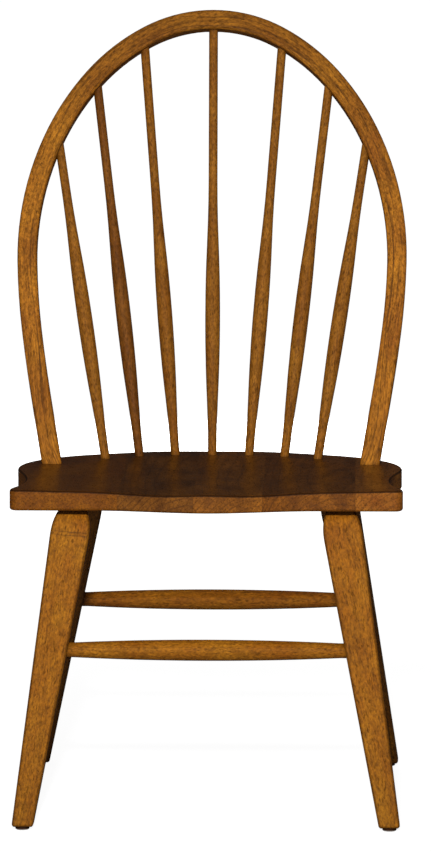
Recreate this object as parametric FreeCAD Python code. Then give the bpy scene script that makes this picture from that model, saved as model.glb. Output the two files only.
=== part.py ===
# Bow-back windsor side chair: shaped plank seat, turned spindles, tapered splayed legs.
# Sizes are in millimetres. Z points up from the floor and the front of the seat faces -Y.
# Left and right are the viewer's, standing in front of the chair. Depths run back from the
# front line of the seat, and the finished chair is moved so that its box is centred on Z.

import os

import FreeCAD
import Part

# Seat plank
seat_top_height = 457.0
seat_thickness = 28.0
seat_half_width = 262.5
seat_depth = 412.5
seat_corner_radius = 11.0
seat_front_bulge = 25.0
# front edge from the middle outwards, pairs of half width and bulge
front_edge_shares = (
    (0.0, 1.0),
    (0.10, 0.93),
    (0.205, 0.71),
    (0.31, 0.43),
    (0.415, 0.17),
    (0.53, 0.0),
    (0.72, 0.0),
)
# side edge from the ear round to the middle of the back, pairs of half width and depth
side_edge_shares = (
    (0.970, 0.105),
    (0.937, 0.280),
    (0.972, 0.440),
    (1.003, 0.570),
    (0.953, 0.712),
    (0.739, 0.868),
    (0.427, 0.962),
)
seat_top_edge_radius = 3.0
seat_under_edge_radius = 4.0
board_joint_x_shares = (-0.450, -0.065, 0.286, 0.758)

# Saddle, hollowed into the top of the seat
saddle_depth = 9.0
# stations across in half widths and back in seat depths
saddle_x_shares = (0.0, 0.115, 0.23, 0.34, 0.46, 0.61, 0.76, 0.91, 1.08)
saddle_y_shares = (-0.12, 0.08, 0.22, 0.36, 0.50, 0.62, 0.72, 0.80, 0.90, 1.06)
# hollow at each station in saddle depths, below zero where the plank stays flat
saddle_drop_shares = (
    (0.22, 0.38, 0.52, 0.44, 0.24, 0.11, 0.07, 0.01, -0.10),
    (0.29, 0.47, 0.61, 0.55, 0.38, 0.21, 0.11, 0.01, -0.12),
    (0.49, 0.63, 0.75, 0.73, 0.58, 0.36, 0.15, -0.01, -0.16),
    (0.73, 0.83, 0.90, 0.87, 0.72, 0.44, 0.15, -0.06, -0.22),
    (0.95, 0.98, 0.98, 0.90, 0.73, 0.40, 0.07, -0.12, -0.28),
    (1.00, 1.00, 0.93, 0.80, 0.56, 0.22, -0.06, -0.20, -0.34),
    (0.82, 0.79, 0.69, 0.52, 0.28, -0.02, -0.20, -0.28, -0.38),
    (0.42, 0.39, 0.30, 0.15, -0.04, -0.20, -0.28, -0.34, -0.42),
    (-0.14, -0.15, -0.18, -0.22, -0.27, -0.33, -0.37, -0.40, -0.46),
    (-0.55, -0.55, -0.55, -0.55, -0.55, -0.55, -0.55, -0.55, -0.55),
)
saddle_tool_height = 40.0

# Bow, bent to one curve that lies in a plane raked back from the seat
bow_rake_deg = 16.0
bow_width = 27.0
bow_thickness = 29.0
bow_edge_radius = 5.0
bow_swell = 36.7
bow_height = 624.0
# where its feet stand, in half widths and depths of the seat
bow_foot_x_share = 0.837
bow_foot_y_share = 0.693
# right half of the centreline from the seat to the widest place, pairs of swell and height
bow_side_shares = (
    (0.0, 0.0),
    (0.28, 0.0965),
    (0.545, 0.192),
    (0.818, 0.3045),
    (1.0, 0.457),
)
# and on from there to the crown, pairs of half span and height
bow_crown_shares = (
    (0.969, 0.593),
    (0.852, 0.7365),
    (0.657, 0.862),
    (0.391, 0.956),
    (0.0, 1.0),
)
bow_foot_overrun = 30.0
bow_tenon_diameter = 18.0
bow_tenon_length = 17.0
bow_tenon_root = 12.0

# Spindles, one turning used seven times and cut to length
spindle_base_diameter = 12.4
spindle_bulge_diameter = 20.8
spindle_tip_diameter = 12.4
spindle_socket_in_seat = 17.0
spindle_collar = 6.0
# thickest place and start of the straight tip, in heights of the bow
spindle_bulge_share = 0.306
spindle_neck_share = 0.614
# how far up from the base the side turns from hollow to round
spindle_round_share = 0.40
# middle spindle first, then outwards: base in half widths and depths of the seat, top in
# half lengths of the bow, measured up from its foot
spindle_base_x_shares = (0.0, 0.196, 0.385, 0.562)
spindle_base_y_shares = (0.911, 0.907, 0.875, 0.810)
spindle_top_shares = (1.0, 0.866, 0.753, 0.626)

# Legs, square in section, with a rounded shoulder under the seat and a round tenon
leg_knee_width = 52.4
leg_foot_width = 28.4
leg_edge_radius = 4.0
leg_shoulder_length = 44.0
# shoulder outline below the seat, pairs of shoulder length and knee width
leg_shoulder_shares = ((0.5, 0.935), (0.22, 0.79), (0.0, 0.61), (-0.2, 0.40))
leg_overrun = 10.0
leg_tenon_diameter = 24.0
leg_tenon_length = 17.0
leg_tenon_root = 12.0
# tops in half widths and depths of the seat, feet by the splay out from there
front_leg_top_x_share = 0.674
front_leg_top_y_share = 0.121
front_leg_side_splay = 69.0
front_leg_splay = 59.5
rear_leg_top_x_share = 0.652
rear_leg_top_y_share = 0.788
rear_leg_side_splay = 77.0
rear_leg_splay = 149.0

# Stretchers, turned to one arc that is thickest in the middle
stretcher_middle_diameter = 28.4
stretcher_end_diameter = 20.0
stretcher_collar = 8.0
front_stretcher_height = 238.0
rear_stretcher_height = 250.5
side_stretcher_height = 281.0

# Glides nailed under the feet
glide_diameter = 19.0
glide_height = 4.5
glide_edge_bevel = 1.2
nail_head_diameter = 6.0
nail_head_height = 1.2
nail_diameter = 2.4
nail_length = 16.0
nail_recess_depth = 1.7

# Screws that hold the feet of the bow from under the seat
screw_head_diameter = 7.5
screw_head_height = 2.4
screw_diameter = 3.5
screw_length = 17.0
screw_recess_depth = 4.6

# Fits
fit_gap = 0.3
socket_end_gap = 1.0
tool_overrun = 20.0

# how closely chains of arcs follow the drawn curves
arc_fit = 0.5
# in how many faces each round swelling is drawn
spindle_face_count = 3
long_stretcher_face_count = 4
side_stretcher_face_count = 5

full_turn_deg = 360.0
quarter_turn_deg = 90.0
half_share = 0.5
whole_share = 1.0
level_share = 0.001
surface_degree = 3
first_number = 1

V = FreeCAD.Vector
ORIGIN = V(0, 0, 0)
UP = V(0, 0, 1)
ACROSS = V(1, 0, 0)
BACK = V(0, 1, 0)
RIGHT_HAND = 1
LEFT_HAND = -1
seat_under_height = seat_top_height - seat_thickness
bow_foot_x = bow_foot_x_share * seat_half_width
bow_half_span = bow_foot_x + bow_swell
reach = seat_top_height + bow_height


# Helpers

def line(start, end):
    return Part.LineSegment(start, end).toShape()


def smooth_arcs(points, start, end):
    """Tangent arcs along the smooth curve through the points, which leaves and arrives as told."""
    curve = Part.BSplineCurve()
    curve.interpolate(Points=points, InitialTangent=start, FinalTangent=end)
    return curve.toBiArcs(arc_fit)


def arc_edges(points, start, end):
    return [piece.toShape() for piece in smooth_arcs(points, start, end)]


def arc(start, end, centre, face_count=first_number):
    """The short arc from start to end about centre, as that many edges in a row."""
    radius = (start - centre).Length
    middle = centre + (start + end - centre - centre).normalize() * radius
    curve = Part.Arc(start, middle, end)
    first = curve.FirstParameter
    step = (curve.LastParameter - first) / face_count
    return [curve.toShape(first + step * n, first + step * n + step) for n in range(face_count)]


def upright_centre(point, through):
    """Centre of the arc that is upright at point and passes through another place."""
    chord = through - point
    return point + ACROSS * (chord.dot(chord) / (chord.x + chord.x))


def mirrored(points):
    """A right half that ends on the middle plane, completed with its left half."""
    return points + [V(-p.x, p.y, p.z) for p in reversed(points[:-1])]


def both_halves(edges):
    """One wire from the edges of a right half and their mirror images."""
    return Part.Wire(Part.sortEdges(edges + [edge.mirror(ORIGIN, ACROSS) for edge in edges])[0])


def bar(origin, direction, diameter, length):
    """A round bar that starts at origin."""
    return Part.makeCylinder(diameter * half_share, length, origin, direction)


def socket(bottom, mouth, diameter, length):
    """The hole for a round end that stops at bottom; it opens towards mouth."""
    start = bottom - mouth * socket_end_gap
    return bar(start, mouth, diameter + fit_gap + fit_gap, length + socket_end_gap)


def placed(shape, origin, direction):
    """A piece drawn up its own Z axis, set down at origin and turned to direction."""
    shape.Placement = FreeCAD.Placement(origin, FreeCAD.Rotation(UP, direction))
    return shape


def turning(side, length):
    """A turned piece, from the edges of its side in order from foot to head."""
    foot = side[0].valueAt(side[0].FirstParameter)
    head = side[-1].valueAt(side[-1].LastParameter)
    centre_head = V(0, 0, length)
    outline = [line(ORIGIN, foot)] + side + [line(head, centre_head), line(centre_head, ORIGIN)]
    return Part.Face(Part.Wire(outline)).revolve(ORIGIN, UP, full_turn_deg)


def slab(low, high):
    """Everything between two heights, as wide as any piece needs."""
    corner = V(-reach, -reach, low)
    return Part.makeBox(reach + reach, reach + reach, high - low, corner)


# Seat

def seat_outline():
    corner = V(seat_half_width - seat_corner_radius, seat_corner_radius, 0)
    front = [V(x * seat_half_width, -y * seat_front_bulge, 0) for x, y in front_edge_shares]
    front += [V(corner.x, 0, 0)]
    side = [V(seat_half_width, corner.y, 0)]
    side += [V(x * seat_half_width, y * seat_depth, 0) for x, y in side_edge_shares]
    side += [V(0, seat_depth, 0)]
    edges = arc_edges(front, ACROSS, ACROSS)
    edges += arc(front[-1], side[0], corner)
    edges += arc_edges(side, BACK, -ACROSS)
    return both_halves(edges)


def even_knots(count):
    """Evenly spaced knots, with how often each repeats, for a net that many points long."""
    spans = count - surface_degree
    knots = [float(k) for k in range(spans + 1)]
    repeats = [1 for k in knots]
    repeats[0] = repeats[-1] = surface_degree + 1
    return knots, repeats


def saddle_tool():
    """What the saddle takes off the top of the plank."""
    grid = []
    for y_share, drops in zip(saddle_y_shares, saddle_drop_shares):
        row = []
        for x_share, drop in zip(saddle_x_shares, drops):
            height = seat_top_height - drop * saddle_depth
            row.append(V(x_share * seat_half_width, y_share * seat_depth, height))
        grid.append(mirrored(list(reversed(row))))
    back_knots, back_repeats = even_knots(len(grid))
    across_knots, across_repeats = even_knots(len(grid[0]))
    surface = Part.BSplineSurface()
    surface.buildFromPolesMultsKnots(
        grid, back_repeats, across_repeats, back_knots, across_knots,
        False, False, surface_degree, surface_degree,
    )
    return surface.toShape().extrude(UP * saddle_tool_height)


def rim_edges(plank, low, high):
    """The edges where the seat's wall meets its top or its underside, between two heights."""
    found = []
    for face in plank.Faces:
        u_low, u_high, v_low, v_high = face.ParameterRange
        normal = face.normalAt((u_low + u_high) * half_share, (v_low + v_high) * half_share)
        if abs(normal.z) > level_share:
            continue
        for edge in face.Edges:
            box = edge.BoundBox
            if low < box.ZMin and box.ZMax < high and not any(edge.isSame(e) for e in found):
                found.append(edge)
    return found


def shaped_plank():
    plank = Part.Face(seat_outline()).extrude(UP * seat_thickness)
    plank.translate(UP * seat_under_height)
    plank = plank.cut(saddle_tool())
    middle = seat_under_height + seat_thickness * half_share
    plank = plank.makeFillet(seat_top_edge_radius, rim_edges(plank, middle, reach))
    return plank.makeFillet(seat_under_edge_radius, rim_edges(plank, 0, middle))


# Bow

def bow_centre_arcs():
    """Right half of the centreline in the bow's own plane, from the foot to the crown."""
    points = [V(bow_foot_x + x * bow_swell, 0, z * bow_height) for x, z in bow_side_shares]
    points += [V(x * bow_half_span, 0, z * bow_height) for x, z in bow_crown_shares]
    return smooth_arcs(points, points[1] - points[0], -ACROSS)


def beside(piece, distance):
    """An arc moved sideways within the bow's plane, inwards where distance is positive."""
    ends = (piece.FirstParameter, piece.LastParameter)
    places = (ends[0], sum(ends) * half_share, ends[1])
    points = [piece.value(at) + piece.tangent(at)[0].cross(BACK) * distance for at in places]
    return Part.Arc(*points).toShape()


def bow_blank(centre_arcs):
    """The bent bar upright, run on below the seat so that it can be trimmed there."""
    first = centre_arcs[0]
    foot = first.value(first.FirstParameter)
    rise = first.tangent(first.FirstParameter)[0]
    low = foot - rise * bow_foot_overrun
    inward = rise.cross(BACK) * (bow_width * half_share)
    right = [line(low - inward, low + inward)]
    for side in (inward, -inward):
        right.append(line(low + side, foot + side))
    for piece in centre_arcs:
        right.append(beside(piece, bow_width * half_share))
        right.append(beside(piece, -bow_width * half_share))
    face = Part.Face(both_halves(right))
    face.translate(-BACK * (bow_thickness * half_share))
    bar_blank = face.extrude(BACK * bow_thickness)
    arrises = [
        edge for edge in bar_blank.Edges
        if edge.BoundBox.YLength < bow_edge_radius and edge.BoundBox.ZMax > low.z * half_share
    ]
    return bar_blank.makeFillet(bow_edge_radius, arrises)


def along_arcs(pieces, distance):
    """The point that far along a chain of arcs."""
    for piece in pieces:
        if distance <= piece.length():
            return piece.value(piece.parameterAtDistance(distance, piece.FirstParameter))
        distance -= piece.length()
    return piece.value(piece.LastParameter)


# Turned pieces

def spindle(length, seat_level):
    """One spindle up its own axis: straight in the seat, swelling, straight up into the bow."""
    base = V(spindle_base_diameter * half_share, 0, seat_level + spindle_collar)
    bulge = V(spindle_bulge_diameter * half_share, 0, seat_level + spindle_bulge_share * bow_height)
    neck = V(spindle_tip_diameter * half_share, 0, seat_level + spindle_neck_share * bow_height)
    # hollow arc from the base, round arc over the bulge, hollow arc up to the neck, all tangent
    turn_in = base + (bulge - base) * spindle_round_share
    round_centre = upright_centre(bulge, turn_in)
    round_radius = bulge.x - round_centre.x
    offset = neck - round_centre
    spare = offset.dot(offset) - round_radius * round_radius
    hollow_radius = spare * half_share / (round_radius - offset.x)
    hollow_centre = neck + ACROSS * hollow_radius
    towards = (hollow_centre - round_centre).normalize()
    turn_out = round_centre + towards * round_radius
    side = [line(V(base.x, 0, 0), base)]
    side += arc(base, turn_in, upright_centre(base, turn_in))
    side += arc(turn_in, turn_out, round_centre, spindle_face_count)
    side += arc(turn_out, neck, hollow_centre)
    side += [line(neck, V(neck.x, 0, length))]
    return turning(side, length)


def stretcher(length, buried, face_count):
    """One stretcher up its own axis, straight over the buried ends and swelled between them."""
    end = stretcher_end_diameter * half_share
    middle = V(stretcher_middle_diameter * half_share, 0, length * half_share)
    low = V(end, 0, buried)
    high = V(end, 0, length - buried)
    side = [line(V(end, 0, 0), low)]
    side += arc(low, high, upright_centre(middle, high), face_count)
    side += [line(high, V(end, 0, length))]
    return turning(side, length)


# Legs

def leg_half_width(up_share):
    """Half of the leg's width, that share of the way from its foot to its knee."""
    return (leg_foot_width + (leg_knee_width - leg_foot_width) * up_share) * half_share


def leg_blank(length, place):
    """A square tapered leg, its shoulder drawn in towards the seat, trimmed level at both ends."""
    knee_up = length - leg_shoulder_length
    knee = leg_half_width(whole_share)
    low = V(leg_half_width(-leg_overrun / knee_up), 0, -leg_overrun)
    shoulder = [V(knee, 0, knee_up)]
    for down, width in leg_shoulder_shares:
        shoulder.append(V(knee * width, 0, length - leg_shoulder_length * down))
    start = shoulder[0] - low
    end = shoulder[-1] - shoulder[-2]
    right = [line(V(0, 0, low.z), low), line(low, shoulder[0])]
    right += arc_edges(shoulder, start.normalize(), end.normalize())
    right += [line(shoulder[-1], V(0, 0, shoulder[-1].z))]
    face = Part.Face(both_halves(right))
    face.translate(V(0, -leg_knee_width, 0))
    front_view = face.extrude(V(0, leg_knee_width + leg_knee_width, 0))
    side_view = front_view.copy()
    side_view.rotate(ORIGIN, UP, quarter_turn_deg)
    floor_cut = slab(glide_height, reach)
    floor_cut.Placement = place.inverse()
    blank = front_view.common(side_view).common(floor_cut)
    rounded = []
    for edge in blank.Edges:
        middle = edge.CenterOfMass
        corner = min(abs(middle.x), abs(middle.y)) > leg_edge_radius
        if corner or place.multVec(middle).z < glide_height + level_share:
            rounded.append(edge)
    blank = blank.makeFillet(leg_edge_radius, rounded)
    blank.Placement = place
    return blank.common(slab(-reach, seat_under_height))


class Leg:
    """Where one leg stands, and its solid as it is built up."""

    def __init__(self, hand, rear):
        if rear:
            top = V(rear_leg_top_x_share * seat_half_width, rear_leg_top_y_share * seat_depth, 0)
            splay = V(rear_leg_side_splay, rear_leg_splay, 0)
        else:
            top = V(front_leg_top_x_share * seat_half_width, front_leg_top_y_share * seat_depth, 0)
            splay = V(front_leg_side_splay, -front_leg_splay, 0)
        foot = top + splay
        self.foot = V(hand * foot.x, foot.y, glide_height)
        self.top = V(hand * top.x, top.y, seat_under_height)
        run = self.top - self.foot
        self.length = run.Length
        self.axis = run.normalize()
        blank = leg_blank(self.length, FreeCAD.Placement(self.foot, FreeCAD.Rotation(UP, self.axis)))
        tenon_start = self.top - self.axis * leg_tenon_root
        tenon = bar(tenon_start, self.axis, leg_tenon_diameter, leg_tenon_root + leg_tenon_length)
        self.solid = blank.fuse(tenon)

    def mortise(self):
        bottom = self.top + self.axis * leg_tenon_length
        return socket(bottom, -self.axis, leg_tenon_diameter, leg_tenon_length + tool_overrun)

    def at_height(self, height):
        return self.foot + self.axis * ((height - self.foot.z) / self.axis.z)

    def half_width_at(self, height):
        share = (height - self.foot.z) / self.axis.z / (self.length - leg_shoulder_length)
        return leg_half_width(share)


def join_legs(first, second, height, face_count):
    """A stretcher between two legs, with its sockets cut in both."""
    start = first.at_height(height)
    end = second.at_height(height)
    along = (end - start).normalize()
    length = (end - start).Length
    buried = first.half_width_at(height) + stretcher_collar
    first.solid = first.solid.cut(socket(start, along, stretcher_end_diameter, buried + tool_overrun))
    second.solid = second.solid.cut(socket(end, -along, stretcher_end_diameter, buried + tool_overrun))
    return placed(stretcher(length, buried, face_count), start, along)


# Assembly

parts = {}

plank = shaped_plank()

# the bow is drawn upright, then raked back about the line of its feet
rake = FreeCAD.Rotation(ACROSS, -bow_rake_deg)
bow_place = FreeCAD.Placement(V(0, bow_foot_y_share * seat_depth, seat_top_height), rake)
centre_arcs = bow_centre_arcs()
bow = bow_blank(centre_arcs)
bow.Placement = bow_place
bow = bow.cut(slab(-reach, seat_top_height))

# spindles, from the middle outwards on both hands
spindles = {}
half_length = sum(piece.length() for piece in centre_arcs)
places = zip(spindle_base_x_shares, spindle_base_y_shares, spindle_top_shares)
for step, (x_share, y_share, top_share) in enumerate(places):
    on_bow = bow_place.multVec(along_arcs(centre_arcs, half_length * top_share))
    for hand in (RIGHT_HAND, LEFT_HAND):
        if hand * step in spindles:
            continue
        base = V(hand * x_share * seat_half_width, y_share * seat_depth, seat_top_height)
        top = V(hand * on_bow.x, on_bow.y, on_bow.z)
        up = (top - base).normalize()
        bottom = base - up * spindle_socket_in_seat
        length = (top - bottom).Length
        spindles[hand * step] = placed(spindle(length, spindle_socket_in_seat), bottom, up)
        plank = plank.cut(socket(bottom, up, spindle_base_diameter, spindle_socket_in_seat + tool_overrun))
        bow = bow.cut(socket(top, -up, spindle_tip_diameter, bow_width + bow_width + tool_overrun))
for number, place in enumerate(sorted(spindles), start=first_number):
    parts["spindle_" + str(number)] = spindles[place]

# the feet of the bow, their mortises and the screws that hold them
screws = []
first_arc = centre_arcs[0]
right_foot = bow_place.multVec(first_arc.value(first_arc.FirstParameter))
right_rise = rake.multVec(first_arc.tangent(first_arc.FirstParameter)[0])
for hand in (RIGHT_HAND, LEFT_HAND):
    foot = V(hand * right_foot.x, right_foot.y, right_foot.z)
    up = V(hand * right_rise.x, right_rise.y, right_rise.z)
    bottom = foot - up * bow_tenon_length
    tenon = bar(bottom, up, bow_tenon_diameter, bow_tenon_length + bow_tenon_root)
    plank = plank.cut(socket(bottom, up, bow_tenon_diameter, bow_tenon_length + tool_overrun))
    under = foot - up * (seat_thickness / up.z)
    seat_of_head = under + up * screw_recess_depth
    recess_start = under - up * tool_overrun
    recess_length = tool_overrun + screw_recess_depth
    recess = bar(recess_start, up, screw_head_diameter + fit_gap + fit_gap, recess_length)
    shank_hole = bar(seat_of_head, up, screw_diameter + fit_gap + fit_gap, screw_length + socket_end_gap)
    plank = plank.cut(recess).cut(shank_hole)
    bow = bow.fuse(tenon).cut(shank_hole)
    head = bar(seat_of_head - up * screw_head_height, up, screw_head_diameter, screw_head_height)
    screws.append(head.fuse(bar(seat_of_head, up, screw_diameter, screw_length)))
parts["hoop"] = bow
parts["hoop_screws"] = Part.makeCompound(screws)

# legs, the stretchers between them and the glides under them
legs = {}
for name, hand, rear in (
    ("front_left", LEFT_HAND, False),
    ("front_right", RIGHT_HAND, False),
    ("rear_left", LEFT_HAND, True),
    ("rear_right", RIGHT_HAND, True),
):
    legs[name] = Leg(hand, rear)
for name, first, second, height, face_count in (
    ("front_stretcher", "front_left", "front_right", front_stretcher_height, long_stretcher_face_count),
    ("rear_stretcher", "rear_left", "rear_right", rear_stretcher_height, long_stretcher_face_count),
    ("left_side_stretcher", "front_left", "rear_left", side_stretcher_height, side_stretcher_face_count),
    ("right_side_stretcher", "front_right", "rear_right", side_stretcher_height, side_stretcher_face_count),
):
    parts[name] = join_legs(legs[first], legs[second], height, face_count)

nails = []
for name, leg in legs.items():
    plank = plank.cut(leg.mortise())
    ground = V(leg.foot.x, leg.foot.y, 0)
    disc = bar(ground, UP, glide_diameter, glide_height)
    rim = [e for e in disc.Edges if e.BoundBox.ZMax < glide_edge_bevel and e.Length > glide_diameter]
    disc = disc.makeChamfer(glide_edge_bevel, rim)
    head_rest = ground + UP * nail_recess_depth
    recess = bar(ground, UP, nail_head_diameter + fit_gap + fit_gap, nail_recess_depth)
    shank_hole = bar(head_rest, UP, nail_diameter + fit_gap + fit_gap, nail_length + socket_end_gap)
    parts[name + "_glide"] = disc.cut(recess).cut(shank_hole)
    parts[name + "_leg"] = leg.solid.cut(shank_hole)
    head = bar(head_rest - UP * nail_head_height, UP, nail_head_diameter, nail_head_height)
    nails.append(head.fuse(bar(head_rest, UP, nail_diameter, nail_length)))
parts["glide_nails"] = Part.makeCompound(nails)

# the plank, parted along its glue lines
joints = [-reach] + [share * seat_half_width for share in board_joint_x_shares] + [reach]
for number, (left, right) in enumerate(zip(joints, joints[1:]), start=first_number):
    strip = Part.makeBox(right - left, reach + reach, reach, V(left, -reach, 0))
    parts["seat_board_" + str(number)] = plank.common(strip)

# centre the chair over the origin from front to back and write every piece
whole = Part.makeCompound(list(parts.values())).optimalBoundingBox(False)
shift = V(0, -(whole.YMin + whole.YMax) * half_share, 0)
os.makedirs("parts", exist_ok=True)
for name, shape in parts.items():
    shape.translate(shift)
    shape.exportStep(os.path.join("parts", name + ".step"))
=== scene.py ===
"""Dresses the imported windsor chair: stained wood on every piece, studio floor, light and camera."""

import math

import bpy
import numpy as np
from mathutils import Matrix, Vector

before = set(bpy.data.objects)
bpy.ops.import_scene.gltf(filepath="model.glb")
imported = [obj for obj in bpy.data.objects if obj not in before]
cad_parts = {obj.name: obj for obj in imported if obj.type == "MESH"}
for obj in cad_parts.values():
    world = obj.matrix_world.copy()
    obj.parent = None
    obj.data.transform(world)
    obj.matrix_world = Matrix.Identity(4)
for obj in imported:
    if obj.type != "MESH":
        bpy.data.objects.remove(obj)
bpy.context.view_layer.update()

# Camera, fitted to the photograph. Lengths in metres, image places in pixels of a 431 wide frame
IMAGE_WIDTH = 431
IMAGE_HEIGHT = 852
CAMERA_PLACE = Vector((0.1815, -8.0028, 1.5125))
CAMERA_AIM = Vector((0.0, -0.0049, 0.520))
FOCAL_PIXELS = 5890.0
IMAGE_CENTRE = (209.8, 422.8)
SENSOR_MM = 36.0
VIEW_DEPTH = 100.0

# Lamps, in watts and metres: a small one in front and above, and a weaker one low behind
LAMP_AIM = Vector((0.0, 0.0, 0.50))
KEY_PLACE = Vector((-0.02, -4.30, 1.88))
KEY_POWER = 180.0
KEY_SIZE = 0.22
BACK_PLACE = Vector((0.0, 4.30, 0.50))
BACK_POWER = 80.0
BACK_SIZE = 0.40

# The room: how strongly it lights, and how bright it is where it is looked at
ROOM_STRENGTH = 0.12
ROOM_SEEN = 1.0

# The floor: its paint, and its glow where it is looked at, near the chair and far from it
FLOOR_REACH = 30.0
FLOOR_PAINT = 0.25
FLOOR_GLOW_NEAR = 0.93
FLOOR_GLOW_FAR = 1.0
FLOOR_NEAR = 0.8
FLOOR_FAR = 3.0

# Dark curtains and a dark mat that only the polish mirrors
CURTAIN_DISTANCE = 1.6
CURTAIN_FRONT = 2.5
CURTAIN_HEIGHT = 6.0
CURTAIN_HEM = 2.2
CURTAIN_SHADE = 0.05
CURTAIN_HIDDEN_FROM = ("camera", "diffuse", "transmission", "shadow", "volume_scatter")
MAT_HEIGHT = 0.0005

# Stains, as they look on the finished wood
GOLDEN = "#AF711A"
ORANGE = "#955611"
BROWN = "#A46A20"
TAWNY = "#8A5318"
DEEP = "#4F2B08"
PORE = "#241003"

# Noises of the wood. Sizes are grains per metre across, across and along it
WANDER = {"sizes": (16.0, 16.0, 3.0), "detail": 2.0}
CLOUD = {"sizes": (34.0, 34.0, 15.0), "detail": 4.0, "roughness": 0.6}
PATCH = {"sizes": (110.0, 110.0, 60.0), "roughness": 0.6, "distortion": 0.8}
FINE = {"sizes": (380.0, 380.0, 190.0), "roughness": 0.7}
STREAK = {"sizes": (380.0, 380.0, 16.0), "roughness": 0.6}
FIBRE = {"sizes": (900.0, 900.0, 45.0), "detail": 2.0, "roughness": 0.6}
PORES = {"sizes": (560.0, 560.0, 140.0), "detail": 1.0}

# Growth rings: their number, their pith off the piece, their slow bend and their dark late wood
RINGS_PER_METRE = 250.0
PITH_PLACE = (0.043, 0.061, 0.0)
RING_SCALES = (1.0, 1.0, 0.04)
RING_WANDER = 5.0
LATE_POWER = 3.0

# Where each noise starts to show and shows fully, and how much it shows at these two
CLOUD_SHOWS = (0.32, 0.68)
PATCH_SHOWS = (0.50, 0.75, 0.0, 0.45)
LATE_SHOWS = (0.3, 1.0)
STREAK_SHOWS = (0.48, 0.66)
FLECK_SHOWS = (0.50, 0.34, 0.0, 0.7)
SPECK_SHOWS = (0.49, 0.66, 0.0, 0.55)
FIBRE_SHOWS = (0.45, 0.75, 0.0, 0.25)
PORES_SHOW = (0.585, 0.67)
PORE_SHARE = 0.48

# Light flecks are this much brighter than the wood round them
FLECK_GAIN = 1.5

# Varnish: its gloss, and what patches and pores add to its roughness
VARNISH_GLOSS = 0.5
VARNISH_IOR = 1.45
TURNED_ROUGHNESS = 0.52
SEAT_ROUGHNESS = 0.34
PATCH_ROUGHENS = (0.3, 0.7, -0.05, 0.05)
PORE_ROUGHENS = 0.15

# Relief of the wood: shares of its height, and that height in metres
FIBRE_RISE = 0.35
LATE_RISE = 0.15
PORE_DEPTH = 0.8
WOOD_BUMP = {"strength": 0.4, "height": 0.0002}

# Painted shade in the corners where pieces meet: how far it reaches, and how much it shows there
CORNER_SHADE_REACH = 0.012
CORNER_SHADE_SAMPLES = 6
CORNER_SHADE_SHOWS = (0.2, 0.9, 0.6, 0.0)

# How much the growth rings and the long dark streaks show
TURNED_RINGS = 0.22
LEG_STREAKS = 0.25
STRETCHER_STREAKS = 0.2
SPINDLE_STREAKS = 0.1
HOOP_STREAKS = 0.7

# Seeds, which move each piece to another part of the plank
STRAIGHT_SEED_STEP = 2.3
BOARD_SEED_STEP = 5.1
HOOP_SEED = 3.7

# The seat: its glue lines, painted shade on its arris and polished top, by the upward lean of the
# face
JOINT_WIDTH = 0.0005
JOINT_DARK = 0.5
SEAT_ARRIS_LEAN = (0.10, 0.35)
SEAT_ARRIS_SHADE = 0.9
SEAT_TOP_LEAN = (0.90, 0.985)
SEAT_TOP_SHADE = 0.39

# The legs: painted shade and a little worn stain on the arrises, painted shade from the floor up
LEG_ARRIS_SHADE_SHOWS = (0.05, 0.42, 0.0, 0.45)
FOOT_SHADE = 0.16
FOOT_SHADE_TOP = 0.20

# The hoop: painted shade over the crown, and a fine worked line along its inner side
CROWN_HEIGHTS = (0.80, 1.05)
CROWN_SHADE = 0.36
BEAD_PLACE = -0.0062
BEAD_WIDTH = 0.0012
BEAD_DARK = 0.50

# The hoop's middle line: stations at which it is measured, and the degree of the curve through them
HOOP_STATIONS = 33
HOOP_DEGREE = 8

# Two marks across the grain under the shoulder of the front left leg
CREASE_HEIGHTS = (0.3985, 0.3940)
CREASE_SLOPE = -0.10
CREASE_WIDTH = 0.0012
CREASE_SPAN = (-0.216, -0.188)
CREASE_DARK = 0.55
CREASE_WANDER = {"sizes": (60.0, 60.0, 60.0)}
CREASE_SEED = 2.0

# Pieces whose stain differs from their neighbours'
OWN_TONES = {
    "spindle_2": ("#86521A", "#6C3C10"),
    "spindle_3": ("#A0681E", "#854D14"),
    "rear_stretcher": ("#A06416", "#834812"),
    "hoop": ("#C47E24", "#9E5D1C"),
}

# Tones of the seat boards, left to right, and how much their growth rings show
BOARD_TONES = (
    (("#8C520E", "#6C390A"), 0.20),
    (("#8A5418", "#522D0B"), 0.80),
    (("#9E601C", "#66390E"), 0.55),
    (("#955818", "#60340C"), 0.60),
    (("#A96922", "#804613"), 0.45),
)

# Plastic glides: a pale sole, a painted reflection, and a dark side from about a millimetre up
GLIDE_SOLE_REFLECTION = "#B3A79C"
GLIDE_SIDE = "#34190A"
GLIDE_SIDE_FROM = (0.0008, 0.0018)
GLIDE_WEAR = {"sizes": (900.0, 900.0, 900.0), "roughness": 0.6}
GLIDE_WEAR_HEIGHT = 0.0008
GLIDE_GRIME_SHOWS = (0.4, 0.8, 0.0, 0.4)
GLIDE_ROUGHNESS = (0.3, 0.7, 0.45, 0.62)
GLIDE_GLOSS = 0.35
GLIDE_BUMP = {"strength": 0.3, "height": 0.0001}
GLIDE_SEED = 4.0

# Zinc-plated steel of the screws and nails
STEEL_DARK = "#8C8A86"
STEEL_LIGHT = "#B4B1AA"
STEEL_CLOUD = {"sizes": (1200.0, 1200.0, 1200.0), "detail": 4.0, "roughness": 0.6}
STEEL_SHOWS = (0.3, 0.7)
STEEL_ROUGHNESS = (0.3, 0.7, 0.25, 0.42)
STEEL_BUMP = {"strength": 0.2, "height": 0.00005}
STEEL_SEED = 9.0

# A noise is this on average
NOISE_MEAN = 0.5

# Sockets of a colour mix, known by place because their names repeat
MIX_SHARE = 0
MIX_FIRST = 6
MIX_SECOND = 7
MIX_RESULT = 2

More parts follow.
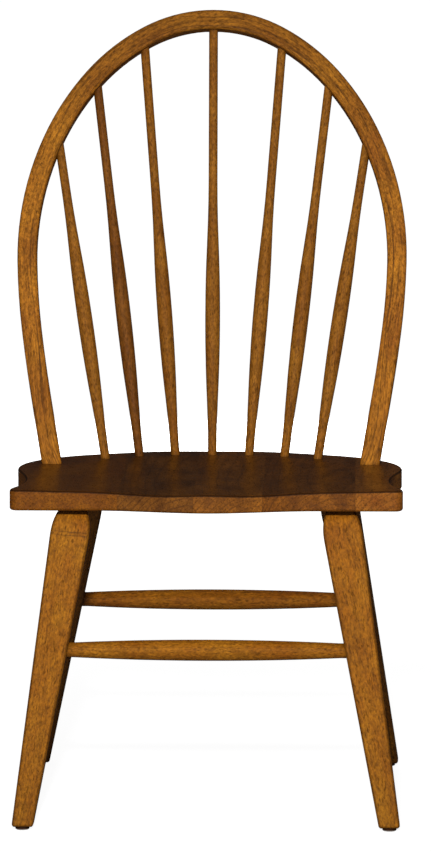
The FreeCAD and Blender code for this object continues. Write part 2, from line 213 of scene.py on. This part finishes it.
# The wood's node group and its sockets
WOOD_GROUP = "stained_wood_grain"
WOOD_SOCKETS = {
    "INPUT": (
        ("Place", "NodeSocketVector"), ("Seed", "NodeSocketFloat"),
        ("Light", "NodeSocketColor"), ("Warm", "NodeSocketColor"),
        ("Rings", "NodeSocketFloat"), ("Streaks", "NodeSocketFloat"),
        ("Polish", "NodeSocketFloat"),
    ),
    "OUTPUT": (
        ("Color", "NodeSocketColor"), ("Roughness", "NodeSocketFloat"),
        ("Height", "NodeSocketFloat"),
    ),
}


def linear(colour):
    """A colour written as #RRGGBB, taken off the sRGB curve."""
    parts = [int(colour[at:at + 2], 16) / 255 for at in (1, 3, 5)]
    return [p / 12.92 if p <= 0.04045 else ((p + 0.055) / 1.055) ** 2.4 for p in parts] + [1.0]


def grey(level):
    return (level, level, level, 1.0)


class Tree:
    """A short way to write shader nodes."""

    def __init__(self, tree):
        self.tree = tree
        tree.nodes.clear()

    def add(self, kind, inputs=None, **settings):
        node = self.tree.nodes.new(kind)
        for name, value in settings.items():
            setattr(node, name, value)
        for key, value in (inputs or {}).items():
            self.feed(node.inputs[key], value)
        return node

    def feed(self, socket, value):
        if isinstance(value, bpy.types.NodeSocket):
            self.tree.links.new(value, socket)
        else:
            socket.default_value = value

    def math(self, operation, *values):
        return self.add("ShaderNodeMath", dict(enumerate(values)), operation=operation).outputs[0]

    def vector(self, operation, *values):
        node = self.add("ShaderNodeVectorMath", dict(enumerate(values)), operation=operation)
        return node.outputs["Value" if operation in ("LENGTH", "DOT_PRODUCT") else "Vector"]

    def parts(self, vector):
        return self.add("ShaderNodeSeparateXYZ", {0: vector}).outputs

    def place(self):
        """Where on the chair a point lies, in metres."""
        return self.add("ShaderNodeTexCoord").outputs["Object"]

    def normal(self):
        return self.add("ShaderNodeNewGeometry").outputs["Normal"]

    def turned_place(self, middle, turn):
        """Where a point lies from the middle of a piece, along axes turned with it."""
        node = self.add("ShaderNodeMapping", {
            "Vector": self.place(), "Location": middle, "Rotation": turn,
        }, vector_type="TEXTURE")
        return node.outputs["Vector"]

    def noise(self, vector, seed, sizes, detail=3.0, roughness=0.5, distortion=0.0):
        node = self.add("ShaderNodeTexNoise", {
            "Vector": self.vector("MULTIPLY", vector, sizes), "W": seed, "Scale": 1.0,
            "Detail": detail, "Roughness": roughness, "Distortion": distortion,
        }, noise_dimensions="4D")
        return node.outputs["Fac"]

    def span(self, value, low, high, to_low=0.0, to_high=1.0):
        """Value carried from one span to another and held within it."""
        node = self.add("ShaderNodeMapRange", {
            "Value": value, "From Min": low, "From Max": high, "To Min": to_low, "To Max": to_high,
        })
        return node.outputs["Result"]

    def blend(self, share, first, second, mode="MIX"):
        node = self.add("ShaderNodeMix", data_type="RGBA", blend_type=mode)
        self.feed(node.inputs[MIX_SHARE], share)
        self.feed(node.inputs[MIX_FIRST], first)
        self.feed(node.inputs[MIX_SECOND], second)
        return node.outputs[MIX_RESULT]

    def bump(self, relief, strength, height):
        inputs = {"Strength": strength, "Distance": height, "Height": relief}
        return self.add("ShaderNodeBump", inputs).outputs["Normal"]

    def seen(self):
        """One for rays that look at a surface, nought for rays that gather its light."""
        path = self.add("ShaderNodeLightPath").outputs
        looked_at = self.math("MAXIMUM", path["Is Camera Ray"], path["Is Glossy Ray"])
        return self.math("MAXIMUM", looked_at, path["Is Transmission Ray"])

    def surface(self, shader):
        self.add("ShaderNodeOutputMaterial", {"Surface": shader.outputs[0]})


def new_material(name):
    material = bpy.data.materials.new(name)
    material.use_nodes = True
    return material, Tree(material.node_tree)


def growth_rings(t, place, seed):
    """How late in its ring the wood is."""
    wander = t.noise(place, seed, **WANDER)
    drawn_out = t.vector("MULTIPLY", place, RING_SCALES)
    distance = t.vector("LENGTH", t.vector("ADD", drawn_out, PITH_PLACE))
    rings = t.math("MULTIPLY", distance, RINGS_PER_METRE)
    bent = t.math("ADD", rings, t.math("MULTIPLY", wander, RING_WANDER))
    return t.math("POWER", t.math("PINGPONG", bent, 1.0), LATE_POWER)


def stained_colour(t, given, late, patch, fibre, pores):
    """The two tones of a piece in clouds, and its marks over them, from wide to fine."""
    deep = linear(DEEP)
    dark = linear(PORE)
    cloud = t.noise(given["Place"], given["Seed"], **CLOUD)
    fine = t.noise(given["Place"], given["Seed"], **FINE)
    streak = t.noise(given["Place"], given["Seed"], **STREAK)
    colour = t.blend(t.span(cloud, *CLOUD_SHOWS), given["Warm"], given["Light"])
    colour = t.blend(t.span(patch, *PATCH_SHOWS), colour, deep)
    rings = t.math("MULTIPLY", t.span(late, *LATE_SHOWS), given["Rings"])
    colour = t.blend(rings, colour, deep)
    lines = t.math("MULTIPLY", t.span(streak, *STREAK_SHOWS), given["Streaks"])
    colour = t.blend(lines, colour, deep)
    bright = t.blend(1.0, colour, grey(FLECK_GAIN), mode="MULTIPLY")
    colour = t.blend(t.span(fine, *FLECK_SHOWS), colour, bright)
    colour = t.blend(t.span(fine, *SPECK_SHOWS), colour, deep)
    colour = t.blend(t.span(fibre, *FIBRE_SHOWS), colour, dark)
    return t.blend(t.math("MULTIPLY", pores, PORE_SHARE), colour, dark)


def make_wood_group():
    """Stained wood. Place is in metres with Z along the grain; Light and Warm are its two tones,
    Rings and Streaks say how much its growth rings and long dark streaks show, and Polish is the
    roughness of its varnish."""
    group = bpy.data.node_groups.new(WOOD_GROUP, "ShaderNodeTree")
    for direction, sockets in WOOD_SOCKETS.items():
        for label, kind in sockets:
            group.interface.new_socket(label, in_out=direction, socket_type=kind)
    t = Tree(group)
    given = t.add("NodeGroupInput").outputs
    out = t.add("NodeGroupOutput").inputs
    place = given["Place"]
    seed = given["Seed"]
    late = growth_rings(t, place, seed)
    patch = t.noise(place, seed, **PATCH)
    fibre = t.noise(place, seed, **FIBRE)
    pores = t.span(t.noise(place, seed, **PORES), *PORES_SHOW)
    t.feed(out["Color"], stained_colour(t, given, late, patch, fibre, pores))
    rough = t.math("ADD", given["Polish"], t.span(patch, *PATCH_ROUGHENS))
    t.feed(out["Roughness"], t.math("ADD", rough, t.math("MULTIPLY", pores, PORE_ROUGHENS)))
    rise = t.math("ADD", t.math("MULTIPLY", fibre, FIBRE_RISE), t.math("MULTIPLY", late, LATE_RISE))
    t.feed(out["Height"], t.math("SUBTRACT", rise, t.math("MULTIPLY", pores, PORE_DEPTH)))


def points_of(node):
    mesh = node.data
    places = np.empty(len(mesh.vertices) * 3)
    mesh.vertices.foreach_get("co", places)
    return places.reshape(-1, 3)


def upward(axis):
    return axis if axis.z >= 0 else -axis


def main_axes(node):
    """Middle of a piece, and the directions in which it is thinnest and longest."""
    places = points_of(node)
    middle = (places.min(0) + places.max(0)) / 2
    spread = np.cov((places - middle).T)
    axes = np.linalg.eigh(spread)[1]
    return Vector(middle), Vector(axes[:, 0]), Vector(axes[:, -1])


def straight_grain(middle, axis):
    """Places in a piece whose grain runs along axis."""
    turn = axis.to_track_quat("Z", "Y").to_euler()

    def grain(t):
        return t.turned_place(middle, turn)
    return grain


def hoop_line(flat):
    """The hoop's distance from its middle, at stations counted in half turns from the crown, and
    the mean distance."""
    radii = np.hypot(flat[:, 0], flat[:, 1])
    turns = np.arctan2(np.abs(flat[:, 0]), flat[:, 1]) / math.pi
    line = np.polynomial.Polynomial.fit(turns, radii, HOOP_DEGREE)
    stations = np.linspace(turns.min(), turns.max(), HOOP_STATIONS)
    return [(station, float(line(station))) for station in stations], float(radii.mean())


def read_line(t, turn, line):
    """Height of a line of points above turn."""
    curve = t.add("ShaderNodeFloatCurve", {"Value": turn})
    points = curve.mapping.curves[0].points
    while len(points) < len(line):
        points.new(0.5, 0.5)
    for point, place in zip(points, line):
        point.location = place
    curve.mapping.update()
    return curve.outputs["Value"]


def bent_grain(node):
    """Places in the hoop, whose grain follows the bow: measured from its own middle line."""
    middle, out, _ = main_axes(node)
    across = Vector((1.0, 0.0, 0.0))
    up = upward(out.cross(across).normalized())
    out = across.cross(up)
    hoop_turn = Matrix((across, up, out)).transposed().to_euler()
    flat = (points_of(node) - middle) @ np.array([across, up, out]).T
    line, mean = hoop_line(flat)

    def grain(t):
        x, y, z = t.parts(t.turned_place(middle, hoop_turn))
        radius = t.vector("LENGTH", t.add("ShaderNodeCombineXYZ", {"X": x, "Y": y}).outputs[0])
        turn = t.math("DIVIDE", t.math("ARCTAN2", t.math("ABSOLUTE", x), y), math.pi)
        off = t.math("SUBTRACT", radius, read_line(t, turn, line))
        along = t.math("MULTIPLY", t.math("ARCTAN2", x, y), mean)
        return t.add("ShaderNodeCombineXYZ", {"X": off, "Y": z, "Z": along}).outputs[0]
    return grain


def wood_material(name, grain, seed, tones, shade_and_marks=None, rings=TURNED_RINGS, streaks=0.0,
                  polish=None):
    """One piece's own wood: grain finds its places, the mark function its dark marks and painted
    shade, and polish its roughness.
    """
    material, t = new_material(name)
    light, warm = tones
    wood = t.add("ShaderNodeGroup", {
        "Place": grain(t), "Seed": seed, "Light": linear(light), "Warm": linear(warm),
        "Rings": rings, "Streaks": streaks, "Polish": polish(t) if polish else TURNED_ROUGHNESS,
    }, node_tree=bpy.data.node_groups[WOOD_GROUP])
    colour = wood.outputs["Color"]
    # Dark marks and painted shade, blended towards the pore colour
    if shade_and_marks:
        colour = t.blend(shade_and_marks(t), colour, linear(PORE))
    # Painted shade in the corners where pieces meet, where ambient occlusion finds them
    corner = t.add("ShaderNodeAmbientOcclusion", {"Distance": CORNER_SHADE_REACH}, samples=CORNER_SHADE_SAMPLES)
    colour = t.blend(t.span(corner.outputs["AO"], *CORNER_SHADE_SHOWS), colour, linear(PORE))
    t.surface(t.add("ShaderNodeBsdfPrincipled", {
        "Base Color": colour, "Roughness": wood.outputs["Roughness"],
        "Normal": t.bump(wood.outputs["Height"], **WOOD_BUMP),
        "IOR": VARNISH_IOR, "Specular IOR Level": VARNISH_GLOSS,
    }))
    return material


def glide_material():
    material, t = new_material("glide_plastic_worn")
    place = t.place()
    wear = t.noise(place, GLIDE_SEED, **GLIDE_WEAR)
    ragged = t.math("MULTIPLY", t.math("SUBTRACT", wear, NOISE_MEAN), GLIDE_WEAR_HEIGHT)
    level = t.math("ADD", t.parts(place)[2], ragged)
    # A pale sole, which is a painted reflection, below a dark side
    colour = t.blend(t.span(level, *GLIDE_SIDE_FROM), linear(GLIDE_SOLE_REFLECTION), linear(GLIDE_SIDE))
    colour = t.blend(t.span(wear, *GLIDE_GRIME_SHOWS), colour, linear(PORE))
    t.surface(t.add("ShaderNodeBsdfPrincipled", {
        "Base Color": colour, "Roughness": t.span(wear, *GLIDE_ROUGHNESS),
        "Normal": t.bump(wear, **GLIDE_BUMP), "Specular IOR Level": GLIDE_GLOSS,
    }))
    return material


def steel_material():
    material, t = new_material("steel_zinc")
    cloud = t.noise(t.place(), STEEL_SEED, **STEEL_CLOUD)
    colour = t.blend(t.span(cloud, *STEEL_SHOWS), linear(STEEL_DARK), linear(STEEL_LIGHT))
    t.surface(t.add("ShaderNodeBsdfPrincipled", {
        "Base Color": colour, "Metallic": 1.0, "Roughness": t.span(cloud, *STEEL_ROUGHNESS),
        "Normal": t.bump(cloud, **STEEL_BUMP),
    }))
    return material


def dress(node, material):
    node.data.materials.clear()
    node.data.materials.append(material)


def leg_arris_and_foot_shade(axis):
    """Where a square leg is dark: along its four rounded arrises, with painted shade and a little
    worn stain, and from the floor up, with painted shade.
    """
    side = Vector((1.0, 0.0, 0.0))
    side = (side - axis * side.dot(axis)).normalized()
    front = axis.cross(side)

    def shade_and_marks(t):
        normal = t.normal()
        both = t.math("MULTIPLY", t.vector("DOT_PRODUCT", normal, side),
                      t.vector("DOT_PRODUCT", normal, front))
        # Painted shade, with a little worn stain, along the rounded arrises
        arris = t.span(t.math("ABSOLUTE", both), *LEG_ARRIS_SHADE_SHOWS)
        height = t.parts(t.place())[2]
        # Painted shade, darker towards the floor
        return t.math("MAXIMUM", arris, t.span(height, 0.0, FOOT_SHADE_TOP, FOOT_SHADE, 0.0))
    return shade_and_marks


def creased(shade_and_marks):
    """The same dark marks and painted shade, and two short marks across the grain."""
    def marked(t):
        place = t.place()
        x, _, z = t.parts(place)
        wander = t.noise(place, CREASE_SEED, **CREASE_WANDER)
        level = t.math("ADD", z, t.math("MULTIPLY", x, -CREASE_SLOPE))
        level = t.math("ADD", level, t.math("MULTIPLY", wander, 2 * CREASE_WIDTH))
        start, end = CREASE_SPAN
        reach = t.span(x, start, end, 0.0, CREASE_DARK)
        dark = shade_and_marks(t)
        for height in CREASE_HEIGHTS:
            base = height - CREASE_SLOPE * end + CREASE_WIDTH
            off = t.math("ABSOLUTE", t.math("SUBTRACT", level, base))
            mark = t.math("MULTIPLY", t.span(off, 0.0, CREASE_WIDTH, 1.0, 0.0), reach)
            dark = t.math("MAXIMUM", dark, mark)
        return dark
    return marked


def dress_straight(nodes, names, tones, streaks):
    """Turned and square pieces, with the grain along each. One piece may have tones of its own."""
    for number, name in enumerate(names):
        middle, _, axis = main_axes(nodes[name])
        axis = upward(axis)
        seed = STRAIGHT_SEED_STEP * number + len(name)
        # Legs get painted shade along their arrises and towards the floor
        shade_and_marks = leg_arris_and_foot_shade(axis) if name.endswith("leg") else None
        if name == "front_left_leg":
            shade_and_marks = creased(shade_and_marks)
        dress(nodes[name], wood_material(
            "wood_" + name, straight_grain(middle, axis), seed, OWN_TONES.get(name, tones),
            shade_and_marks=shade_and_marks, streaks=streaks))


def dress_hoop(hoop):
    """The hoop, with painted shade over the crown, and a fine line along its inner side."""
    grain = bent_grain(hoop)

    def shade_and_marks(t):
        low, high = CROWN_HEIGHTS
        # Painted shade over the crown
        crown = t.span(t.parts(t.place())[2], low, high, 0.0, CROWN_SHADE)
        off = t.math("SUBTRACT", t.parts(grain(t))[0], BEAD_PLACE)
        line = t.span(t.math("ABSOLUTE", off), 0.0, BEAD_WIDTH, BEAD_DARK, 0.0)
        return t.math("MAXIMUM", crown, line)
    dress(hoop, wood_material(
        "wood_hoop", grain, HOOP_SEED, OWN_TONES["hoop"], shade_and_marks=shade_and_marks, streaks=HOOP_STREAKS))


def seat_polish(t):
    """The top of the seat is polished by use, and its edge is not."""
    lean = t.parts(t.normal())[2]
    return t.span(lean, *SEAT_TOP_LEAN, TURNED_ROUGHNESS, SEAT_ROUGHNESS)


def board_lines_and_shade(low, high):
    """Where a seat board is dark: along its glue lines, and with painted shade along its upper
    arris and on its top.
    """
    def shade_and_marks(t):
        x = t.parts(t.place())[0]
        near = t.math("MINIMUM", t.math("SUBTRACT", x, low), t.math("SUBTRACT", high, x))
        line = t.span(near, 0.0, JOINT_WIDTH, JOINT_DARK, 0.0)
        lean = t.parts(t.normal())[2]
        # Painted shade along the upper arris
        arris = t.math("MULTIPLY", t.span(lean, *SEAT_ARRIS_LEAN),
                       t.span(lean, *SEAT_TOP_LEAN, 1.0, 0.0))
        # Painted shade on the top
        top = t.span(lean, *SEAT_TOP_LEAN, 0.0, SEAT_TOP_SHADE)
        dark = t.math("MAXIMUM", t.math("MULTIPLY", arris, SEAT_ARRIS_SHADE), top)
        return t.math("MAXIMUM", line, dark)
    return shade_and_marks


def dress_seat(nodes):
    """Boards with the grain from front to back, so that the front edge shows end grain."""
    boards = sorted(name for name in nodes if name.startswith("seat_board"))
    for number, name in enumerate(boards):
        node = nodes[name]
        across = points_of(node)[:, 0]
        middle, _, _ = main_axes(node)
        grain = straight_grain(middle, Vector((0.0, 1.0, 0.0)))
        tones, rings = BOARD_TONES[number]
        shade_and_marks = board_lines_and_shade(float(across.min()), float(across.max()))
        dress(node, wood_material("wood_" + name, grain, BOARD_SEED_STEP * number, tones,
                                  shade_and_marks=shade_and_marks, rings=rings, polish=seat_polish))


def dress_chair(nodes):
    make_wood_group()
    legs = sorted(name for name in nodes if name.endswith("leg"))
    stretchers = sorted(name for name in nodes if name.endswith("stretcher"))
    spindles = sorted(name for name in nodes if name.startswith("spindle"))
    dress_straight(nodes, legs, (GOLDEN, ORANGE), LEG_STREAKS)
    dress_straight(nodes, stretchers, (GOLDEN, ORANGE), STRETCHER_STREAKS)
    dress_straight(nodes, spindles, (BROWN, TAWNY), SPINDLE_STREAKS)
    dress_hoop(nodes["hoop"])
    dress_seat(nodes)
    plastic = glide_material()
    for name in nodes:
        if name.endswith("glide"):
            dress(nodes[name], plastic)
    steel = steel_material()
    dress(nodes["glide_nails"], steel)
    dress(nodes["hoop_screws"], steel)


def put(name, data):
    item = bpy.data.objects.new(name, data)
    bpy.context.scene.collection.objects.link(item)
    return item


def sheet(name, corners):
    mesh = bpy.data.meshes.new(name)
    mesh.from_pydata(corners, [], [(0, 1, 2, 3)])
    return put(name, mesh)


def make_floor():
    """A pale floor: white where it is looked at, with the chair's shadow on its paint."""
    r = FLOOR_REACH
    floor = sheet("floor", [(-r, -r, 0), (r, -r, 0), (r, r, 0), (-r, r, 0)])
    material, t = new_material("floor_paint")
    paint = t.add("ShaderNodeBsdfDiffuse", {"Color": grey(FLOOR_PAINT)})
    away = t.vector("LENGTH", t.place())
    white = t.span(away, FLOOR_NEAR, FLOOR_FAR, FLOOR_GLOW_NEAR, FLOOR_GLOW_FAR)
    glow = t.add("ShaderNodeEmission", {"Strength": t.math("MULTIPLY", t.seen(), white)})
    t.surface(t.add("ShaderNodeAddShader", {0: paint.outputs[0], 1: glow.outputs[0]}))
    dress(floor, material)


def hanging(start, end, hem=0.0):
    """Corners of a curtain that hangs between two places on the ground, down to its hem."""
    return [(*start, hem), (*end, hem), (*end, CURTAIN_HEIGHT), (*start, CURTAIN_HEIGHT)]


def hang_curtains():
    """Dark curtains round and over the chair, the front one above the hem only, and a dark mat
    under it. They show only in the polish."""
    material, t = new_material("curtain_cloth")
    t.surface(t.add("ShaderNodeBsdfDiffuse", {"Color": grey(CURTAIN_SHADE)}))
    side = CURTAIN_DISTANCE
    front = -CURTAIN_FRONT
    ground = ((-side, front), (side, front), (side, side), (-side, side))
    front_left, front_right, back_right, back_left = ground
    sheets = {
        "mat": [(*corner, MAT_HEIGHT) for corner in ground],
        "top": [(*corner, CURTAIN_HEIGHT) for corner in ground],
        "back": hanging(back_left, back_right),
        "left": hanging(front_left, back_left),
        "right": hanging(back_right, front_right),
        "front": hanging(front_right, front_left, CURTAIN_HEM),
    }
    for name, corners in sheets.items():
        curtain = sheet("curtain_" + name, corners)
        dress(curtain, material)
        for kind in CURTAIN_HIDDEN_FROM:
            setattr(curtain, "visible_" + kind, False)


def facing(place, target):
    """Turn of a lamp or camera at place that looks at target."""
    return (target - place).to_track_quat("-Z", "Y").to_euler()


def hang_lamp(name, place, power, size):
    """A round lamp aimed at the chair, which the polish doesn't mirror."""
    light = bpy.data.lights.new(name, "AREA")
    light.shape = "DISK"
    light.energy = power
    light.size = size
    lamp = put(name, light)
    lamp.location = place
    lamp.rotation_euler = facing(place, LAMP_AIM)
    lamp.visible_glossy = False


def light_scene():
    """A dim room that is white where it is looked at, and two lamps."""
    world = bpy.data.worlds.new("studio")
    world.use_nodes = True
    t = Tree(world.node_tree)
    sky = t.add("ShaderNodeBackground", {
        "Color": grey(1.0), "Strength": t.span(t.seen(), 0.0, 1.0, ROOM_STRENGTH, ROOM_SEEN),
    })
    t.add("ShaderNodeOutputWorld", {"Surface": sky.outputs[0]})
    bpy.context.scene.world = world
    hang_lamp("key", KEY_PLACE, KEY_POWER, KEY_SIZE)
    hang_lamp("back", BACK_PLACE, BACK_POWER, BACK_SIZE)


def place_camera():
    lens = bpy.data.cameras.new("photo_view")
    lens.sensor_fit = "HORIZONTAL"
    lens.sensor_width = SENSOR_MM
    lens.lens = FOCAL_PIXELS / IMAGE_WIDTH * SENSOR_MM
    lens.shift_x = (IMAGE_WIDTH / 2 - IMAGE_CENTRE[0]) / IMAGE_WIDTH
    lens.shift_y = (IMAGE_CENTRE[1] - IMAGE_HEIGHT / 2) / IMAGE_WIDTH
    lens.clip_end = VIEW_DEPTH
    camera = put("photo_view", lens)
    camera.location = CAMERA_PLACE
    camera.rotation_euler = facing(CAMERA_PLACE, CAMERA_AIM)
    bpy.context.scene.camera = camera


dress_chair(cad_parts)
make_floor()
hang_curtains()
light_scene()
place_camera()
bpy.context.scene.view_settings.view_transform = "Standard"
